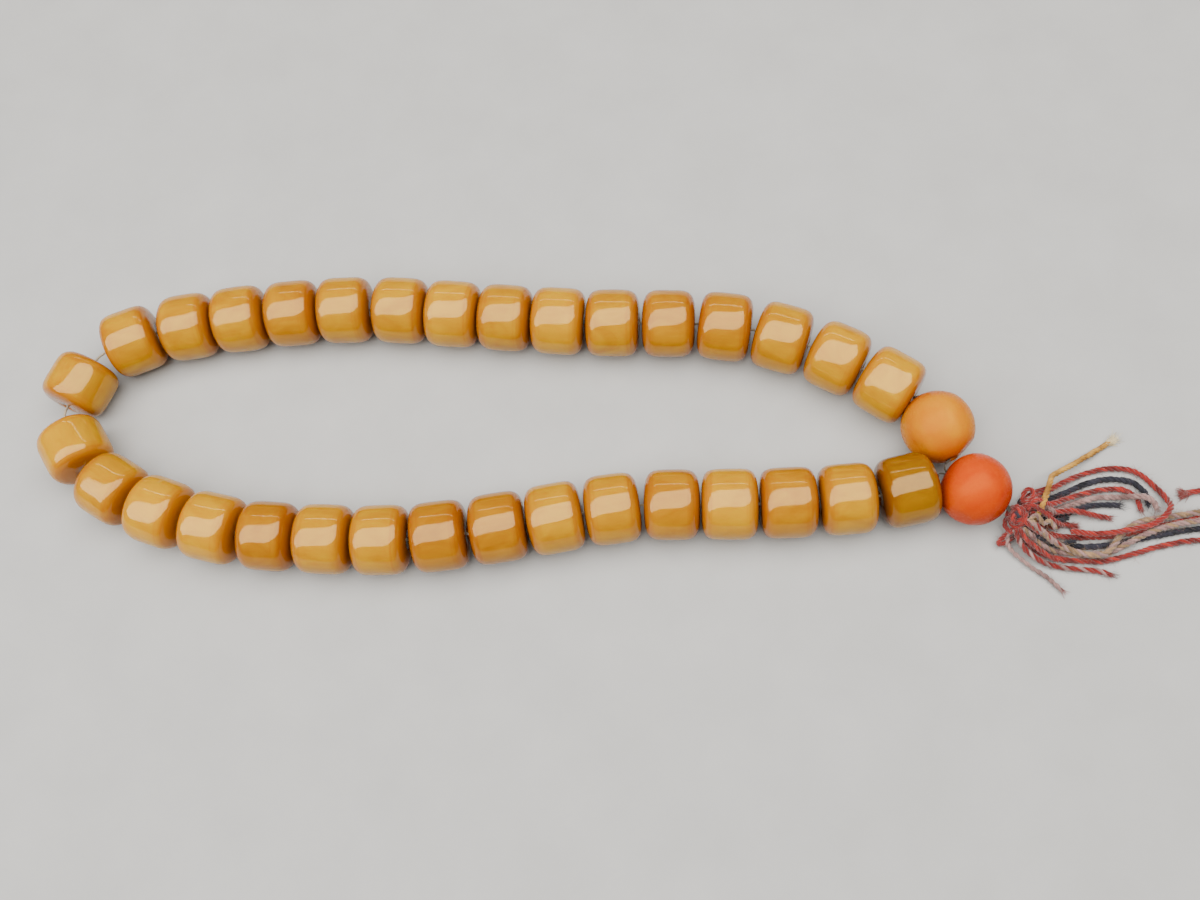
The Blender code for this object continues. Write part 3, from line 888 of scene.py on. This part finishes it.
def amber(name, bright, body, rim, seed, glow=0.3):
    """Cloudy amber resin, polished: swirls in the body, and at both ends turning rings and painted
    shade, warmer and darker.
    """
    nodes = Nodes(name)
    shift = (seed * 0.013, seed * 0.029, seed * 0.007)
    swirl = nodes.noise(nodes.place(shift, (1.0, 1.7, 1.7)), 95.0, 3.0, 0.55, 1.4)
    wisps = nodes.noise(nodes.place(shift, (0.5, 3.2, 3.2)), 260.0, 4.0, 0.6, 0.8)
    broad = nodes.math("MULTIPLY", swirl, 1 - WISP_SHARE)
    fine = nodes.math("MULTIPLY", wisps, WISP_SHARE)
    colour = nodes.ramp(nodes.math("ADD", broad, fine), ((0.34, body), (0.66, bright)))
    split = nodes.add("ShaderNodeSeparateXYZ", Vector=nodes.place())
    along = nodes.math("ABSOLUTE", split.outputs["X"])
    # Painted shade: towards both ends, where the drums meet, the colour goes to the rim colour
    painted_end_shade = nodes.span(along, 2.6 * MM, 5.3 * MM, 0.0, 0.85)
    rings = nodes.noise(nodes.place(shift, (1.0, 0.02, 0.02)), 1500.0, 2.0, 0.6)
    near_end = nodes.span(along, 1.8 * MM, 4.4 * MM)
    turned = nodes.math("MULTIPLY", near_end, nodes.span(rings, 0.42, 0.66))
    colour = nodes.mix(nodes.math("MULTIPLY", turned, 0.55), colour, rim)
    colour = nodes.mix(painted_end_shade, colour, rim)
    ripple = nodes.noise(nodes.place(shift, (0.6, 1.0, 1.0)), 330.0, 2.0, 0.45)
    normal = nodes.bump(ripple, 0.10, 0.0004)
    normal = nodes.bump(turned, 0.12, 0.0001, normal)
    nodes.set(
        Base_Color=colour,
        Roughness=nodes.span(wisps, 0.3, 0.7, 0.06, 0.13),
        Normal=normal,
    )
    nodes.set(IOR=1.62, Specular_Tint=(1.0, 0.82, 0.46, 1.0))
    nodes.set(Subsurface_Weight=glow, Subsurface_Scale=0.004, Subsurface_Radius=(1.0, 0.35, 0.05))
    return nodes.material


def satin(name, bright, body, rim, seed):
    """Opaque resin with a duller polish, and painted shade towards both ends along X."""
    nodes = Nodes(name)
    swirl = nodes.noise(nodes.place((seed, 0, 0)), 110.0, 3.0, 0.5, 0.8)
    colour = nodes.ramp(swirl, ((0.33, body), (0.68, bright)))
    split = nodes.add("ShaderNodeSeparateXYZ", Vector=nodes.place())
    # Painted shade: towards both ends along X the colour goes to the rim colour
    painted_end_shade = nodes.span(nodes.math("ABSOLUTE", split.outputs["X"]), 3.5 * MM, 6.6 * MM, 0.0, 0.7)
    colour = nodes.mix(painted_end_shade, colour, rim)
    scuffs = nodes.noise(nodes.place((0, seed, 0)), 900.0, 4.0, 0.7)
    ripple = nodes.noise(nodes.place((0, 0, seed)), 240.0, 2.0, 0.4)
    normal = nodes.bump(ripple, 0.2, 0.0004)
    nodes.set(
        Base_Color=colour,
        Roughness=nodes.span(scuffs, 0.35, 0.7, 0.20, 0.36),
        Normal=normal,
    )
    nodes.set(IOR=1.5, Specular_IOR_Level=0.16, Specular_Tint=(1.0, 0.55, 0.15, 1.0))
    nodes.set(Subsurface_Weight=0.2, Subsurface_Scale=0.003, Subsurface_Radius=(1.0, 0.3, 0.05))
    return nodes.material


# Resin colours: the bright clouds, the body and the rim, which is the colour of the painted shade at
# the ends and of the turning rings
TONES = {
    "plain": ((0.41, 0.209, 0.0004), (0.33, 0.142, 0.0003), (0.27, 0.074, 0.0002)),
    "light": ((0.45, 0.237, 0.0005), (0.37, 0.167, 0.0003), (0.31, 0.092, 0.0002)),
    "deep": ((0.37, 0.170, 0.0004), (0.29, 0.112, 0.0002), (0.25, 0.060, 0.0002)),
    "ochre": ((0.33, 0.143, 0.0003), (0.25, 0.090, 0.0002), (0.22, 0.052, 0.0002)),
    "olive": ((0.23, 0.102, 0.0002), (0.165, 0.064, 0.0002), (0.15, 0.042, 0.0002)),
}
# Drums whose tone isn't the plain one
ODD_TONES = {
    2: "light", 3: "light", 8: "light", 10: "light", 18: "light", 20: "light", 21: "light",
    30: "light", 5: "deep", 6: "deep", 13: "deep", 29: "deep", 31: "deep",
    22: "ochre", 25: "ochre", 26: "ochre", 33: "olive",
}


def add_drums():
    for number in range(FIRST_DRUM, LAST_DRUM + 1):
        rng = random.Random(900 + number)
        name = f"amber_bead_{number:02d}"
        tone = ODD_TONES.get(number, "plain")
        glow = 0.45 if tone == "olive" else 0.3
        material = amber(f"amber_{tone}_{number:02d}", *TONES[tone], number, glow)
        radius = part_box(f"bead_{number:02d}")[1][2] / 2
        shape = DRUM_SHAPE + rng.uniform(-0.25, 0.35)
        outline = bead_outline(radius, drum_half(number), shape, BORE, DRUM_STEPS)
        piece = add_mesh(name, turned_bead(name, outline, number, material))
        place_on_cord(piece, bead_joint(number), rng.uniform(0, math.tau))
        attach(piece, f"turning_bead_{number:02d}")
        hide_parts(f"bead_{number:02d}")


def place_on_cord(piece, joint, spin=0.0):
    way = joint_way(joint)
    turn = Matrix.Rotation(math.atan2(way.y, way.x), 4, "Z") @ Matrix.Rotation(spin, 4, "X")
    piece.matrix_world = Matrix.Translation(joint_place(joint)) @ turn


# A flat's depth is from this far from the bead's middle, and 1 is quite flat
UNWORN_RADIUS = 6.8 * MM
FLATNESS = 0.85


def press_flats(piece, flats):
    """Wear soft flats into a round bead, each facing a way in the rest pose."""
    turn = piece.matrix_world.to_3x3().inverted()
    for way, depth in flats:
        facing = turn @ Vector(way).normalized()
        for vertex in piece.data.vertices:
            over = vertex.co.dot(facing) - (UNWORN_RADIUS - depth)
            if over > 0:
                vertex.co -= facing * over * FLATNESS


# Flats that show in the outline: the way each faces and its depth
BALL_FLATS = (
    ((0.8, 0.6, 0.1), 0.35 * MM),
    ((-0.67, -0.74, 0.2), 0.3 * MM),
    ((0.72, -0.7, 0), 0.35 * MM),
)
LEADER_FLATS = (
    ((0.5, 0.85, 0.15), 0.4 * MM),
    ((0.85, -0.5, 0.1), 0.3 * MM),
    ((-0.45, -0.88, 0.1), 0.35 * MM),
)


def add_round_beads():
    # Colours of the bright clouds, the body and the rim's painted shade
    orange = satin(
        "orange_resin", (0.47, 0.182, 0.0004), (0.41, 0.112, 0.0003), (0.35, 0.054, 0.0002), 0.3,
    )
    outline = bead_outline(
        BALL_RADIUS, BALL_HALF, ROUND_SHAPE, BALL_BORE, ROUND_STEPS, BALL_TAPER,
    )
    ball = add_mesh("orange_bead_01", turned_bead("orange_bead_01", outline, 1, orange))
    place_on_cord(ball, bead_joint(1), 0.4)
    press_flats(ball, BALL_FLATS)
    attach(ball, "turning_bead_01")
    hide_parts("bead_01")
    # Colours of the bright clouds, the body and the rim's painted shade
    red = satin(
        "red_orange_resin", (0.45, 0.056, 0.0003), (0.38, 0.029, 0.0002), (0.27, 0.012, 0.0002), 0.7,
    )
    outline = bead_outline(
        LEADER_RADIUS, LEADER_HALF, ROUND_SHAPE, LEADER_BORE, ROUND_STEPS, LEADER_TAPER,
    )
    leader = add_mesh("leader_bead_egg", turned_bead("leader_bead_egg", outline, 2, red))
    place_on_cord(leader, "turn_leader_bead", 1.1)
    press_flats(leader, LEADER_FLATS)
    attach(leader, "turning_leader_bead")
    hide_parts("leader_bead")


add_drums()
add_round_beads()

# --- Floor and light --------------------------------------------------------------

FLOOR_HALF = 2.0
FLOOR_TONES = ((0.3, (0.325, 0.335, 0.345)), (0.7, (0.355, 0.365, 0.375)))
OUTER_FLOOR = (0.88, 0.89, 0.90)
SKY = (0.92, 0.95, 1.0, 1.0)
SKY_STRENGTH = 0.13


def add_floor():
    """A pale matt floor with painted light: paler away from the middle, where less of the window's
    light falls.
    """
    nodes = Nodes("pale_floor")
    speckle = nodes.noise(nodes.place(), 60.0, 4.0, 0.6)
    colour = nodes.ramp(speckle, FLOOR_TONES)
    inward = nodes.add("ShaderNodeTexGradient", Vector=nodes.place(scale=(0.7, 0.7, 0.7)))
    inward.gradient_type = "SPHERICAL"
    # Painted light: the floor's colour goes paler away from the middle
    outer = nodes.span(inward.outputs["Fac"], 0.05, 0.72, 1.0, 0.0)
    nodes.set(Base_Color=nodes.mix(outer, colour, OUTER_FLOOR), Roughness=0.9)
    corners = [(x * FLOOR_HALF, y * FLOOR_HALF, 0) for x, y in ((-1, -1), (1, -1), (1, 1), (-1, 1))]
    mesh = mesh_from("floor", corners, [(0, 1, 2, 3)], materials=[nodes.material])
    add_mesh("floor", mesh)


def add_area(name, place, facing, long_way, size, power, colour=(1, 1, 1)):
    """A softbox at place, turned to face a way, its longer side along another."""
    data = bpy.data.lights.new(name, "AREA")
    data.shape = "RECTANGLE"
    data.size, data.size_y = size
    data.energy = power
    data.color = colour
    back = -Vector(facing).normalized()
    across = Vector(long_way)
    across = (across - back * across.dot(back)).normalized()
    turn = Matrix((across, back.cross(across), back)).transposed()
    light = bpy.data.objects.new(name, data)
    light.matrix_world = Matrix.Translation(place) @ turn.to_4x4()
    bpy.context.collection.objects.link(light)


def add_world():
    world = bpy.data.worlds.new("studio")
    world.use_nodes = True
    background = world.node_tree.nodes["Background"]
    background.inputs["Color"].default_value = SKY
    background.inputs["Strength"].default_value = SKY_STRENGTH
    bpy.context.scene.world = world


add_floor()
add_area(
    "window", place=(-0.40, -0.20, 0.62), facing=(0, 0, -1), long_way=(0.92, 0.38, 0),
    size=(2.1, 0.62), power=31.0, colour=(1.0, 0.94, 0.86),
)
add_area(
    "strip", place=(0.0, 0.78, 0.62), facing=(0, -0.78, -0.62), long_way=(1, 0, 0),
    size=(0.9, 0.03), power=0.8,
)
add_world()
